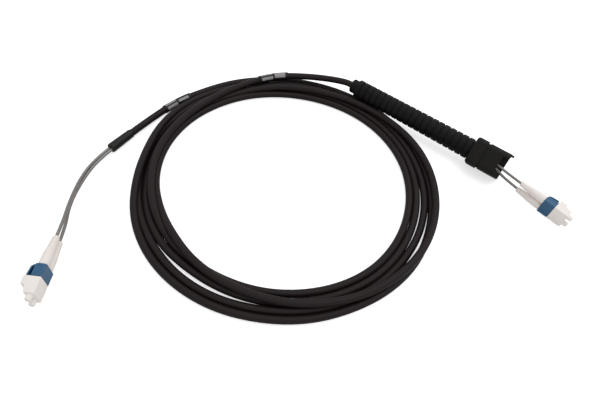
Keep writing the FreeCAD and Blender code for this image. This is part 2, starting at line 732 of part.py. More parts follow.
# Cable end B, from the top of the coil through the ribbed boot.
roll = math.radians(size_of("head_roll_degrees"))
corner = size_of("head_corner")
reach = (size_of("head_collar_side") / 2 - corner) * (abs(math.cos(roll)) + abs(math.sin(roll))) + corner
boot_height = max(reach, size_of("boot_front_od") / 2)
boot_place = along(COIL_MIDDLE + BOOT_TAIL, BOOT_HEADING, boot_height)
boot_front = size_of("boot_length")
tail_b = on_table(TAIL_B_FREE, 0)
tail_b.append(boot_place.multVec(Vector(TAIL_B_BEHIND_BOOT, 0, 0)))
tail_b.append(boot_place.multVec(Vector(boot_front + 1, 0, 0)))
arcs_b = cord("cable_tail_b", tail_b, "dims.cable_od", CABLE_SIDES)
label_sleeve("label_sleeve_b", arcs_b[1])
ribbed_boot(boot_place)
rolled = Placement(Vector(), Rotation(Vector(1, 0, 0), size_of("head_roll_degrees")))
boot_head(boot_place.multiply(rolled))
sleeve_b_start = boot_front - size_of("boot_chamber_length") + 0.5
breakout_sleeve("breakout_sleeve_b", boot_place.multiply(Placement(Vector(sleeve_b_start, 0, 0), Rotation())))

# Plugs: their frames first, because the legs run straight into them.
head_front = boot_place.multVec(Vector(boot_front + size_of("head_length"), 0, -boot_height))
plug_a = plug_frame(COIL_MIDDLE + PLUG_A_PLACE, PLUG_A_HEADING, 1)
plug_b = plug_frame(head_front + PLUG_B_BEYOND_HEAD, PLUG_B_HEADING, -1)

# Legs: side by side out of the sleeve of end A, one above the other out of the boot of end B.
run_b = (tail_b[-1] - tail_b[-2]).normalize()
half_gap = size_of("leg_spacing") / 2
aside = Vector(run_a.y, -run_a.x, 0) * half_gap
for half, spread in (("upper", aside), ("lower", aside * -1)):
    free = on_table(LEG_A_FREE[half], 0)
    seat = plug_half(plug_a, 1, half)
    cord(f"leg_a_{half}", leg_route(tail_a[-1] + spread, run_a, LEG_A_FIRST_RUN, free, seat, LEG_A_HELD_START),
         "dims.leg_od", LEG_SIDES)
for half, spread in (("upper", half_gap), ("lower", -half_gap)):
    seat = plug_half(plug_b, -1, half)
    start = tail_b[-1] + Vector(0, 0, spread)
    cord(f"leg_b_{half}", leg_route(start, run_b, LEG_B_FIRST_RUN, [], seat, LEG_B_HELD_START), "dims.leg_od", LEG_SIDES)

plug("a", plug_a, 1)
plug("b", plug_b, -1)

doc.recompute()
for item in doc.Objects:
    if "Invalid" in item.State or "Error" in item.State:
        raise ValueError(f"{item.Name} failed: {item.State}")
for piece in nodes:
    if piece.Shape.isNull() or not piece.Shape.isValid():
        raise ValueError(f"{piece.Label} has no valid shape")

os.makedirs("parts", exist_ok=True)
for piece in nodes:
    piece.Shape.exportStep(f"parts/{piece.Label}.step")
print(len(nodes), "nodes written")
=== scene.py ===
import math

import bmesh
import bpy
from mathutils import Matrix, Vector


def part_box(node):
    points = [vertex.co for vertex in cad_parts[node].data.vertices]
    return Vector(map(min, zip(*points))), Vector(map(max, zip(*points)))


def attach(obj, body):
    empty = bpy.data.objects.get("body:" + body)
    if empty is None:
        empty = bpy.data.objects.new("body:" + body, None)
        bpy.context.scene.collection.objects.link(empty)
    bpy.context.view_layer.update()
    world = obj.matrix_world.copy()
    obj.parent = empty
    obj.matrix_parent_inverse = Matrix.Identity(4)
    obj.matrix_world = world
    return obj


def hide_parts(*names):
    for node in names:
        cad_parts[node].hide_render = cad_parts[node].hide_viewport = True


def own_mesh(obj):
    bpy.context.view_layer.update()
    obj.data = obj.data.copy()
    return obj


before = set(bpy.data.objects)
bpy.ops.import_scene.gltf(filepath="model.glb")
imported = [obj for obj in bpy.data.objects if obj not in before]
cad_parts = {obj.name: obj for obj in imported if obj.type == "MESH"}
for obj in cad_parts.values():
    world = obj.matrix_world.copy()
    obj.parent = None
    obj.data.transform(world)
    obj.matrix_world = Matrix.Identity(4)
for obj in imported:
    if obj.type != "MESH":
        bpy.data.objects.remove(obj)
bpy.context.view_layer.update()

MM = 0.001
ROOT = "cord"

# In millimetres: corners closer than WELD are made one, and places within NEAR count as the same.
WELD = 0.0005
NEAR = 0.01

# Where the pieces lie, in millimetres, measured from the coil's middle: across, away, height.
COIL_MIDDLE = Vector((-34.13, 7.773, 0.0))
BOOT_TAIL = COIL_MIDDLE + Vector((38.8, 96.6, 13.075))
BOOT_HEADING = -29.0
SLEEVE_A_SPLIT = COIL_MIDDLE + Vector((-120.6, 4.0, 3.49))
SLEEVE_A_HEADING = -116.003
PLUGS = {
    "a": (COIL_MIDDLE + Vector((-123.4, -106.0, 6.2)), -87.0, 1.0),
    "b": (COIL_MIDDLE + Vector((187.0, 6.205, 6.2)), -40.0, -1.0),
}
HALVES = {"upper": 1.0, "lower": -1.0}
PITCH = 6.25
# Stands a flat circle across the x axis.
ACROSS = Matrix.Rotation(math.pi / 2, 4, "Y")

# Sizes of the cord, in millimetres.
CABLE_OD = 5.0
LEG_OD = 2.0
LYING = CABLE_OD / 2

# The cable from the boot to the coil.
CABLE_START = [
    (56.29, 86.90, 13.075),
    (40.55, 95.63, 13.075),
    (32.5, 100.1, 13.0),
    (7.0, 102.9, 10.4),
    (-24.1, 98.6, 8.7),
]

# Turns of the coil from 120 degrees on: the strand's radius every 15 degrees and the height
# where it rides over other strands. Elsewhere it lies on the table.
STATION = 15
FIRST_STATION = 120
TURNS = [
    ([94.0, 90.8, 89.6, 89.8, 90.3, 90.4, 90.4, 90.2, 88.8, 88.4, 88.6, 88.4,
      88.45, 88.35, 87.5, 86.7, 86.7, 87.1, 87.4, 87.4, 86.9, 86.2, 85.8, 86.0],
     {120: 7.9, 135: 7.5, 150: 7.1, 165: 7.0, 180: 6.9, 195: 6.7, 210: 5.6, 225: 3.0}),
    ([86.6, 87.0, 87.8, 88.1, 88.1, 87.6, 86.4, 86.9, 89.6, 91.8, 94.5, 97.3,
      99.75, 101.75, 103.4, 104.0, 103.7, 103.0, 101.0, 97.6, 94.0, 91.2, 89.6, 89.2],
     {210: 3.2, 225: 6.9, 240: 7.3, 255: 7.2, 270: 7.4, 285: 7.2, 300: 7.4, 315: 7.4, 330: 7.5,
      345: 7.5, 0: 7.4, 15: 7.4, 30: 7.5, 45: 7.4, 60: 7.5, 75: 7.3, 90: 7.5, 105: 7.0}),
    ([89.9, 91.2, 92.5, 93.0, 93.1, 93.6, 94.6, 95.3, 93.6, 93.9, 94.5, 93.8,
      93.6, 93.3, 92.3, 91.7, 91.7, 91.9, 92.3, 92.5, 92.4, 91.8, 91.6, 92.6],
     {120: 4.6, 135: 2.7}),
    ([94.1, 95.8, 97.2, 97.9, 98.0, 98.4, 99.3, 100.1, 101.0, 100.8, 99.7, 99.35,
      99.2, 97.9, 97.15, 97.3, 97.3, 97.0, 97.3, 97.5, 97.4, 97.0, 97.0, 97.9],
     {}),
    ([99.3, 100.8, 101.0, 98.6, 97.0, 99.0, 103.2, 105.2, 106.0, 105.9, 104.9, 104.6,
      103.75, 104.0, 104.1, 102.9, 102.2, 102.0, 102.2, 102.4, 102.4, 102.4, 102.7, 103.6],
     {150: 3.8, 165: 6.6, 180: 7.4, 195: 6.8, 210: 3.6}),
    ([104.4], {}),
]
# The strand runs a little inside its points, so each point lies further out by this ratio.
CUT_INSIDE = 1.0086

# The cable from the coil to the breakout sleeve.
CABLE_END = [
    (-71.5, 77.5, 2.8),
    (-93.0, 56.2, 3.05),
    (-108.6, 28.6, 3.4),
    (-120.6, 4.0, 3.49),
]

# The legs from their sleeve to the plug.
LEGS = {
    "leg_a_upper": [(-121.53, 4.45, 3.49), (-128.54, -9.93, 3.49), (-132.2, -27.5, 3.8),
                    (-129.9, -50.5, 6.4), (-125.23, -71.05, 9.325), (-124.08, -93.02, 9.325)],
    "leg_a_lower": [(-119.67, 3.55, 3.49), (-126.69, -10.83, 3.49), (-131.0, -27.5, 2.0),
                    (-131.3, -50.5, 2.2), (-125.23, -71.05, 3.075), (-124.08, -93.02, 3.075)],
    "leg_b_upper": [(131.51, 45.21, 14.105), (143.75, 38.42, 14.105),
                    (157.51, 30.95, 9.325), (177.04, 14.56, 9.325)],
    "leg_b_lower": [(131.51, 45.21, 12.045), (143.75, 38.42, 12.045),
                    (157.51, 30.95, 3.075), (177.04, 14.56, 3.075)],
}


def paint(code):
    """Linear colour of a six-figure colour code."""
    channels = []
    for place in (0, 2, 4):
        value = int(code[place:place + 2], 16) / 255
        channels.append(value / 12.92 if value <= 0.04045 else ((value + 0.055) / 1.055) ** 2.4)
    return (*channels, 1.0)


# Sockets of the colour mixer.
SHARE_IN, FIRST_IN, SECOND_IN, COLOUR_OUT = 0, 6, 7, 2
COAT_ROUGHNESS = 0.2
BLOTCH_DETAIL, GRAIN_DETAIL = 4.0, 3.0
GRAIN_LOW, GRAIN_HIGH = 0.3, 0.7
GRAIN_DEPTH = 0.0002


def finish_of(name, colour, mottle, roughness, spread, grain, bump, coat=0.0, specular=0.5,
              blotch=60.0):
    """Moulded or extruded plastic: two near colours in blotches, uneven gloss and a fine grain."""
    material = bpy.data.materials.new(name)
    material.use_nodes = True
    nodes, links = material.node_tree.nodes, material.node_tree.links
    shader = nodes["Principled BSDF"]
    shader.inputs["Specular IOR Level"].default_value = specular
    shader.inputs["Coat Weight"].default_value = coat
    shader.inputs["Coat Roughness"].default_value = COAT_ROUGHNESS
    places = nodes.new("ShaderNodeTexCoord")
    clouds = nodes.new("ShaderNodeTexNoise")
    clouds.inputs["Scale"].default_value = blotch
    clouds.inputs["Detail"].default_value = BLOTCH_DETAIL
    links.new(places.outputs["Object"], clouds.inputs["Vector"])
    blend = nodes.new("ShaderNodeMix")
    blend.data_type = "RGBA"
    blend.inputs[FIRST_IN].default_value = paint(colour)
    blend.inputs[SECOND_IN].default_value = paint(mottle)
    links.new(clouds.outputs["Fac"], blend.inputs[SHARE_IN])
    links.new(blend.outputs[COLOUR_OUT], shader.inputs["Base Color"])
    fine = nodes.new("ShaderNodeTexNoise")
    fine.inputs["Scale"].default_value = grain
    fine.inputs["Detail"].default_value = GRAIN_DETAIL
    links.new(places.outputs["Object"], fine.inputs["Vector"])
    gloss = nodes.new("ShaderNodeMapRange")
    gloss.inputs["From Min"].default_value = GRAIN_LOW
    gloss.inputs["From Max"].default_value = GRAIN_HIGH
    gloss.inputs["To Min"].default_value = roughness - spread
    gloss.inputs["To Max"].default_value = roughness + spread
    links.new(fine.outputs["Fac"], gloss.inputs["Value"])
    links.new(gloss.outputs["Result"], shader.inputs["Roughness"])
    relief = nodes.new("ShaderNodeBump")
    relief.inputs["Strength"].default_value = bump
    relief.inputs["Distance"].default_value = GRAIN_DEPTH
    links.new(fine.outputs["Fac"], relief.inputs["Height"])
    links.new(relief.outputs["Normal"], shader.inputs["Normal"])
    return material


def metal_of(name, colour, mottle, roughness, spread, grain, bump=0.1):
    """Plated or drawn metal with a slightly uneven gloss."""
    material = finish_of(name, colour, mottle, roughness, spread, grain, bump)
    material.node_tree.nodes["Principled BSDF"].inputs["Metallic"].default_value = 1.0
    return material


JACKET = finish_of("jacket_black", "181011", "1f1617", 0.5, 0.06, 1800.0, 0.25, specular=0.16)
RUBBER = finish_of("boot_black", "0b0a09", "110f0e", 0.52, 0.08, 2400.0, 0.3, specular=0.11)
HEAD = finish_of("head_black", "131210", "191816", 0.45, 0.07, 3000.0, 0.25, specular=0.12)
SHRINK = finish_of("shrink_black", "121110", "191816", 0.4, 0.08, 900.0, 0.3, specular=0.2)
LABEL = finish_of("label_grey", "868384", "959293", 0.5, 0.08, 1500.0, 0.15)
LEG = finish_of("leg_grey", "4d4642", "5e5753", 0.16, 0.05, 1600.0, 0.1, coat=1.0, specular=1.0,
                blotch=40.0)
BLUE = finish_of("plug_blue", "1b4f73", "235d84", 0.36, 0.06, 3500.0, 0.2)
RELIEF = finish_of("relief_white", "efe6e0", "f4ede8", 0.42, 0.06, 3000.0, 0.2)
CAP = finish_of("cap_white", "f4ede7", "f7f1ec", 0.38, 0.06, 3200.0, 0.15)
CERAMIC = finish_of("ferrule_white", "f0eee8", "f6f4ef", 0.15, 0.04, 4000.0, 0.03)
REAR = finish_of("rear_grey", "85888a", "929597", 0.45, 0.06, 3000.0, 0.2)
STEEL = metal_of("spring_steel", "a9abad", "b8babc", 0.28, 0.08, 2500.0)
BRASS = metal_of("crimp_brass", "b59a5a", "c4a967", 0.34, 0.08, 2500.0)


def hand_in(name, shape, place, finish, body, slot, *nodes, crease=35.0, inlay=None):
    """Closes a shape's seams, turns its faces out, sets it in place, puts it under its body and
    hides the parts it stands for.
    """
    bmesh.ops.remove_doubles(shape, verts=shape.verts, dist=WELD)
    bmesh.ops.recalc_face_normals(shape, faces=shape.faces)
    bmesh.ops.transform(shape, matrix=Matrix.Scale(MM, 4) @ place, verts=shape.verts)
    mesh = bpy.data.meshes.new(name)
    shape.to_mesh(mesh)
    shape.free()
    mesh.shade_smooth()
    mesh.set_sharp_from_angle(angle=math.radians(crease))
    mesh.materials.append(finish)
    if inlay:
        mesh.materials.append(inlay)
    piece = bpy.data.objects.new(name, mesh)
    bpy.context.scene.collection.objects.link(piece)
    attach(piece, body)
    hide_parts(*nodes)
    return piece


def frame_at(spot, heading, up=None):
    """Matrix with x along a heading on the table, z up, or y up or down for a plug on its side."""
    turned = Matrix.Translation(spot) @ Matrix.Rotation(math.radians(heading), 4, "Z")
    if up is not None:
        turned = turned @ Matrix.Rotation(math.radians(90.0 * up), 4, "X")
    return turned


def verts_of(parts):
    """Vertices among the parts of a shape."""
    return [part for part in parts if isinstance(part, bmesh.types.BMVert)]


def edges_of(parts):
    """Edges among the parts of a shape."""
    return [part for part in parts if isinstance(part, bmesh.types.BMEdge)]


def faces_of(parts):
    """Faces among the parts of a shape."""
    return [part for part in parts if isinstance(part, bmesh.types.BMFace)]


def along_x(edges, least=5.0):
    """Edges that run along the x axis for more than this length."""
    return [edge for edge in edges if abs((edge.verts[0].co - edge.verts[1].co).x) > least]


def cross_edges(shape, along, height):
    """Edges that run across a shape at one place of its side outline."""
    return [edge for edge in shape.edges if all(
        abs(vert.co.x - along) < NEAR and abs(vert.co.z - height) < NEAR for vert in edge.verts)]


def block(front, rear, width, height):
    """Box round the x axis."""
    shape = bmesh.new()
    bmesh.ops.create_cube(shape, size=1.0, matrix=Matrix.Translation(((front + rear) / 2, 0, 0))
                          @ Matrix.Diagonal((front - rear, width, height, 1.0)))
    return shape


def lift(chosen, **moved):
    """Sets one or more coordinates of the chosen vertices."""
    for vert in chosen:
        for axis, value in moved.items():
            setattr(vert.co, axis, value)


def steep_edges(shape, least=50.0):
    """Edges where two faces meet at more than this angle."""
    limit = math.radians(least)
    return [edge for edge in shape.edges
            if edge.is_manifold and edge.calc_face_angle(0.0) > limit]


def round_off(shape, edges, amount, segments=2):
    """Rounds the given edges."""
    bmesh.ops.bevel(shape, geom=list(edges), offset=amount, offset_type="OFFSET",
                    segments=segments, profile=0.5, affect="EDGES", material=-1, clamp_overlap=True)


def split_at(shape, spot, across):
    """Divides a shape's faces along a plane and keeps both sides."""
    bmesh.ops.bisect_plane(shape, geom=shape.verts[:] + shape.edges[:] + shape.faces[:],
                           plane_co=spot, plane_no=across)


def edges_at(verts):
    """Edges that meet the given vertices."""
    return list({edge for vert in verts for edge in vert.link_edges})


def turned_piece(profile, steps=48):
    """Closed profile of (along, radius) turned about the x axis."""
    shape = bmesh.new()
    ring = [shape.verts.new((along, 0.0, radius)) for along, radius in profile]
    edges = [shape.edges.new(pair) for pair in zip(ring, ring[1:] + ring[:1])]
    bmesh.ops.spin(shape, geom=ring + edges, cent=(0, 0, 0), axis=(1, 0, 0), angle=math.tau,
                   steps=steps, use_merge=True)
    bmesh.ops.remove_doubles(shape, verts=shape.verts, dist=WELD)
    bmesh.ops.recalc_face_normals(shape, faces=shape.faces)
    return shape


def side_cut(profile, width):
    """Outline of (along, height) drawn out to both sides."""
    shape = bmesh.new()
    corners = [shape.verts.new((along, -width / 2, height)) for along, height in profile]
    face = shape.faces.new(corners)
    drawn = bmesh.ops.extrude_face_region(shape, geom=[face])["geom"]
    bmesh.ops.translate(shape, vec=(0, width, 0), verts=verts_of(drawn))
    bmesh.ops.recalc_face_normals(shape, faces=shape.faces)
    return shape


def ring_on(shape, edges, **moved):
    """Draws a ring of edges on into a new ring and returns its vertices and edges."""
    grown = bmesh.ops.extrude_edge_only(shape, edges=edges)["geom"]
    verts = verts_of(grown)
    lift(verts, **moved)
    return verts, edges_of(grown)


def join_in(into, shape, place=Matrix.Identity(4)):
    """Adds one shape to another."""
    mesh = bpy.data.meshes.new("loose_part")
    bmesh.ops.transform(shape, matrix=place, verts=shape.verts)
    shape.to_mesh(mesh)
    shape.free()
    into.from_mesh(mesh)
    bpy.data.meshes.remove(mesh)


# Cords

def cable_route():
    """Points of the cable from the boot, round the coil and out to the breakout sleeve."""
    points = [Vector(spot) for spot in CABLE_START]
    for radii, lifted in TURNS:
        for step, radius in enumerate(radii):
            degrees = FIRST_STATION + STATION * step
            angle = math.radians(degrees)
            height = lifted.get(degrees % 360, LYING)
            reach = radius * CUT_INSIDE
            points.append(Vector((reach * math.cos(angle), reach * math.sin(angle), height)))
    points += [Vector(spot) for spot in CABLE_END]
    return [point + COIL_MIDDLE for point in points]


def laid_cord(name, points, diameter, finish, slot, *nodes):
    """Cord on one smooth spline, with the points of its line and its length, in metres."""
    line = bpy.data.curves.new(name, "CURVE")
    line.dimensions = "3D"
    spline = line.splines.new("NURBS")
    spline.points.add(len(points) - 1)
    for knot, point in zip(spline.points, points):
        knot.co = (*(point * MM), 1.0)
    spline.order_u = 3
    spline.use_endpoint_u = True
    spline.resolution_u = 10
    spline.use_smooth = True
    piece = bpy.data.objects.new(name, line)
    bpy.context.scene.collection.objects.link(piece)
    bpy.context.view_layer.update()
    traced = bpy.data.meshes.new_from_object(piece)
    centre = [vert.co.copy() for vert in traced.vertices]
    bpy.data.meshes.remove(traced)
    length = sum((b - a).length for a, b in zip(centre, centre[1:]))
    line.bevel_depth = diameter * MM / 2
    line.bevel_resolution = 6
    line.use_fill_caps = True
    line.materials.append(finish)
    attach(piece, ROOT)
    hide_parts(*nodes)
    return piece, centre, length


# Blank fields on each label sleeve: share of its length from and to, degrees round it from and to.
LABEL_FIELDS = {
    "label_sleeve_a": [(0.07, 0.46, 100.0, 140.0), (0.53, 0.93, 55.0, 100.0),
                       (0.53, 0.93, 122.0, 168.0)],
    "label_sleeve_b": [(0.07, 0.46, 72.0, 160.0), (0.53, 0.93, 55.0, 96.0),
                       (0.53, 0.93, 122.0, 168.0)],
}
LABEL_LENGTH = 24.0
LABEL_RADIUS = 3.02
LABEL_BORE = 2.53
# Rounded end of a label sleeve: share of its length, radius.
LABEL_RIM = [(0.0, 2.75), (0.012, 2.94), (0.035, LABEL_RADIUS)]
LABEL_STEPS = 28
LABEL_BORE_STEPS = 16
LABEL_SIDES = 64


def label_stations():
    """Outside of a label sleeve from end to end, then its bore back: share of length, radius."""
    near = LABEL_RIM[-1][0]
    span = 1.0 - 2 * near
    outside = LABEL_RIM + [(near + span * step / LABEL_STEPS, LABEL_RADIUS)
                           for step in range(1, LABEL_STEPS)]
    outside += [(1.0 - share, radius) for share, radius in reversed(LABEL_RIM)]
    return outside + [(1.0 - step / LABEL_BORE_STEPS, LABEL_BORE)
                      for step in range(LABEL_BORE_STEPS + 1)]


def label_sleeve(name, centre, middle, node):
    """Black film sleeve that follows a stretch of the cable's line, with its blank grey fields."""
    spot = min(range(len(centre)), key=lambda index: (centre[index] - middle).length)
    reach = [0.0]
    for a, b in zip(centre, centre[1:]):
        reach.append(reach[-1] + (b - a).length)

    def frame_on(place):
        """Matrix at a distance along the cable's line, with z ahead."""
        index = max(1, min(len(centre) - 1, next(i for i, r in enumerate(reach) if r >= place)))
        share = (place - reach[index - 1]) / (reach[index] - reach[index - 1])
        ahead = (centre[index] - centre[index - 1]).normalized()
        across = ahead.cross(Vector((0, 0, 1))).normalized()
        above = across.cross(ahead)
        turned = Matrix((across, above, ahead)).transposed().to_4x4()
        return Matrix.Translation(centre[index - 1].lerp(centre[index], share) / MM) @ turned

    def in_field(share, radius, degrees):
        """Whether a face of the sleeve lies in a grey field."""
        return radius >= LABEL_RADIUS and any(
            low <= share < high and first <= degrees < last
            for low, high, first, last in LABEL_FIELDS[node])

    shape = bmesh.new()
    start = reach[spot] - LABEL_LENGTH * MM / 2
    stations = label_stations()
    placed = [frame_on(start + share * LABEL_LENGTH * MM) @ Matrix.Scale(radius, 4)
              for share, radius in stations]
    bmesh.ops.create_circle(shape, segments=LABEL_SIDES, radius=1.0, matrix=placed[0])
    edges = list(shape.edges)
    for number, before in enumerate(placed):
        after = placed[(number + 1) % len(placed)]
        grown = bmesh.ops.extrude_edge_only(shape, edges=edges)["geom"]
        verts = verts_of(grown)
        bmesh.ops.transform(shape, matrix=after @ before.inverted(), verts=verts)
        edges = [edge for edge in edges_of(grown) if set(edge.verts) <= set(verts)]
        share, radius = stations[number]
        for face in faces_of(grown):
            spoke = before.inverted() @ face.calc_center_median()
            degrees = math.degrees(math.atan2(spoke.y, spoke.x))
            face.material_index = int(in_field(share, radius, degrees))
    return hand_in(name, shape, Matrix.Identity(4), SHRINK, ROOT, "label_grey", node, inlay=LABEL)


cable, cable_line, cable_length = laid_cord(
    "cable", cable_route(), CABLE_OD, JACKET, "cable_jacket",
    "cable_coil", "cable_tail_a", "cable_tail_b")
# Points of the cable's line at each end, where its label sits.
END_POINTS = 140
LABEL_STRETCHES = {
    "label_sleeve_a": cable_line[-END_POINTS:],
    "label_sleeve_b": cable_line[:END_POINTS],
}
for node, stretch in LABEL_STRETCHES.items():
    low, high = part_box(node)
    label_sleeve(node.replace("sleeve", "tube"), stretch, (low + high) / 2, node)

for node, points in LEGS.items():
    leg, leg_line, leg_length = laid_cord(
        node.replace("leg", "leg_cord"), [Vector(point) + COIL_MIDDLE for point in points],
        LEG_OD, LEG, "leg_grey", node)
    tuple(leg_line[0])


# Shrink sleeves

SLEEVE_PROFILE = [
    (-14.0, 2.55), (-14.0, 2.85), (-13.2, 3.02), (-10.0, 3.1), (-5.0, 3.18), (0.0, 3.3),
    (3.0, 3.35), (4.6, 3.33), (5.2, 3.22), (5.4, 3.0), (5.4, 2.6), (4.9, 2.4), (4.7, 0.02),
    (-13.4, 0.02), (-13.6, 2.5),
]
# Where the hidden sleeve's split lies along the boot.
SLEEVE_B_SPLIT = 106.0
boot_frame = frame_at(BOOT_TAIL, BOOT_HEADING)
SLEEVE_FRAMES = {
    "a": frame_at(SLEEVE_A_SPLIT, SLEEVE_A_HEADING),
    "b": boot_frame @ Matrix.Translation((SLEEVE_B_SPLIT, 0, 0)),
}
for letter, sleeve_frame in SLEEVE_FRAMES.items():
    hand_in(f"shrink_sleeve_{letter}", turned_piece(SLEEVE_PROFILE), sleeve_frame, SHRINK, ROOT,
            "shrink_black", f"breakout_sleeve_{letter}")


# Ribbed boot and its head

def ribbed_boot():
    """Boot with a tail collar, rounded ribs that widen forwards, and the spigot in the head."""
    ribs, pitch, rib, first = 20, 5.0, 4.0, 5.0
    rear_radius, front_radius, slit_depth, near_top, rib_round = 6.9, 7.7, 0.8, 0.15, 0.35
    spigot, spigot_end, chamfer = 5.4, 109.0, 0.5
    bore, room, room_start = 2.6, 4.0, 86.0
    ribbed = ribs * pitch

    def top_at(place):
        """Radius of the ribs at a place along the boot."""
        return rear_radius + (front_radius - rear_radius) * (place - first) / ribbed

    profile = [(0.0, bore), (0.0, spigot - chamfer), (chamfer, spigot), (first, spigot)]
    for number in range(ribs):
        start = first + pitch * number
        end, after = start + rib, start + pitch
        profile += [(start, top_at(start)), (end, top_at(end)),
                    (end, top_at(end) - slit_depth), (after, top_at(after) - slit_depth)]
    profile += [(first + ribbed, spigot), (spigot_end, spigot), (spigot_end, room),
                (room_start, room), (room_start, bore)]
    shape = turned_piece(profile)
    tops = [edge for edge in steep_edges(shape) if all(
        vert.co.yz.length > top_at(vert.co.x) - near_top for vert in edge.verts)]
    round_off(shape, tops, rib_round, 3)
    return shape


hand_in("ribbed_boot", ribbed_boot(), boot_frame, RUBBER, ROOT, "boot_rubber", "bend_boot")


def rounded_square(shape, along, side, corner, segments=6):
    """Ring of edges round a square with rounded corners, across the x axis."""
    half = side / 2
    corners = [shape.verts.new((along, y * half, z * half))
               for y, z in ((-1, -1), (1, -1), (1, 1), (-1, 1))]
    shape.faces.new(corners)
    bmesh.ops.bevel(shape, geom=corners, offset=corner, offset_type="OFFSET", segments=segments,
                    profile=0.5, affect="VERTICES", material=-1, clamp_overlap=True)
    face = shape.faces[:][0]
    edges = list(face.edges)
    bmesh.ops.delete(shape, geom=[face], context="FACES_ONLY")
    return edges


def square_ring_on(shape, edges, along, ratio):
    """Draws a square ring on to a new place, larger or smaller."""
    verts, edges = ring_on(shape, edges, x=along)
    for vert in verts:
        vert.co.y *= ratio
        vert.co.z *= ratio
    return edges


def boot_head():
    """Square head: wide collar, groove, body with an open mouth, and a lip over the mouth."""
    rear, collar, groove, front, back = 105.0, 113.5, 115.3, 131.0, 110.0
    wide, narrow, side, mouth, bore, corner = 20.6, 18.6, 19.8, 16.2, 5.5, 3.6
    steep, shoulder_round, edge_round = 45.0, 1.8, 0.45
    shape = bmesh.new()
    first = ring = rounded_square(shape, rear, wide, corner)
    for along, ratio in ((collar, 1.0), (collar, narrow / wide), (groove, 1.0),
                         (groove, side / narrow), (front, 1.0), (front, mouth / side), (back, 1.0)):
        ring = square_ring_on(shape, ring, along, ratio)
    hole = bmesh.ops.create_circle(shape, segments=28, radius=bore,
                                   matrix=Matrix.Translation((back, 0, 0)) @ ACROSS)["verts"]
    hole_ring = edges_at(hole)
    bmesh.ops.bridge_loops(shape, edges=ring + hole_ring)
    hole_ring = ring_on(shape, hole_ring, x=rear)[1]
    bmesh.ops.bridge_loops(shape, edges=first + hole_ring)
    bmesh.ops.recalc_face_normals(shape, faces=shape.faces)
    shoulder = [edge for edge in steep_edges(shape, steep) if all(
        abs(vert.co.x - rear) < NEAR and vert.co.yz.length > bore + 1.0 for vert in edge.verts)]
    round_off(shape, shoulder, shoulder_round, 4)
    round_off(shape, steep_edges(shape, steep), edge_round, 3)
    cut_back_mouth(shape, groove, front, 0.3 - mouth / 2)
    top, low, lip_width, lip_round = side / 2, side / 2 - 1.0, 9.0, 0.22
    lip = side_cut([(front - 0.8, low), (front + 1.8, low), (front + 2.0, top - 0.75),
                    (front + 1.7, top - 0.1), (front - 0.8, top - 0.02)], lip_width)
    round_off(lip, steep_edges(lip, 60.0), lip_round, 2)
    join_in(shape, lip)
    return shape


def cut_back_mouth(shape, groove, front, inside):
    """Sets the middle of the near wall's rim back from the front."""
    half_cut, half_step, depth, rim_depth = 5.5, 5.9, 4.6, 1.0
    for place in (-half_step, -half_cut, half_cut, half_step):
        wall = [face for face in shape.faces if face.calc_center_median().y < inside
                and face.calc_center_median().x > groove]
        loose = {part for face in wall for part in (*face.verts, *face.edges)}
        bmesh.ops.bisect_plane(shape, geom=[*wall, *loose], plane_co=(0, 0, place),
                               plane_no=(0, 0, 1))
    rim = [vert for vert in shape.verts if vert.co.x > front - rim_depth and vert.co.y < inside
           and abs(vert.co.z) < half_cut + 0.1]
    bmesh.ops.translate(shape, verts=rim, vec=(-depth, 0, 0))


HEAD_ROLL = -45.0
head_frame = boot_frame @ Matrix.Rotation(math.radians(HEAD_ROLL), 4, "X")
hand_in("boot_head_shell", boot_head(), head_frame, HEAD, ROOT, "boot_rubber", "boot_head")


# Plug pieces, each in its plug's own frame: x forwards, z towards the latches

def strain_relief():
    """White boot: smooth barrel, then a tail with fine rings that narrow rearwards."""
    tail, rear, crimp_end, crimp_bore, leg_bore, rear_radius = -18.2, -27.5, -15.6, 1.95, 1.04, 1.7
    rings, pitch, ring_radius, narrowing, ring_round = 5, 1.86, 2.58, 0.5, 0.22
    profile = [(-8.0, crimp_bore), (-8.0, 2.75), (-8.3, 3.0), (-12.0, 2.98), (-15.0, 2.9),
               (-17.4, 2.72), (tail, 2.6)]
    for number in range(rings):
        place = tail - pitch * number
        radius = ring_radius - narrowing * number / (rings - 1)
        profile += [(place - 0.05, radius), (place - 1.15, radius - 0.06),
                    (place - 1.25, radius - 0.28), (place - pitch + 0.02, radius - 0.34)]
    profile[-1] = (rear, rear_radius)
    profile += [(rear, leg_bore), (crimp_end, leg_bore), (crimp_end, crimp_bore)]
    shape = turned_piece(profile, 40)
    tops = [edge for edge in steep_edges(shape)
            if min(vert.co.yz.length for vert in edge.verts) > rear_radius
            and min(vert.co.x for vert in edge.verts) < -18.0]
    round_off(shape, tops, ring_round, 2)
    return shape


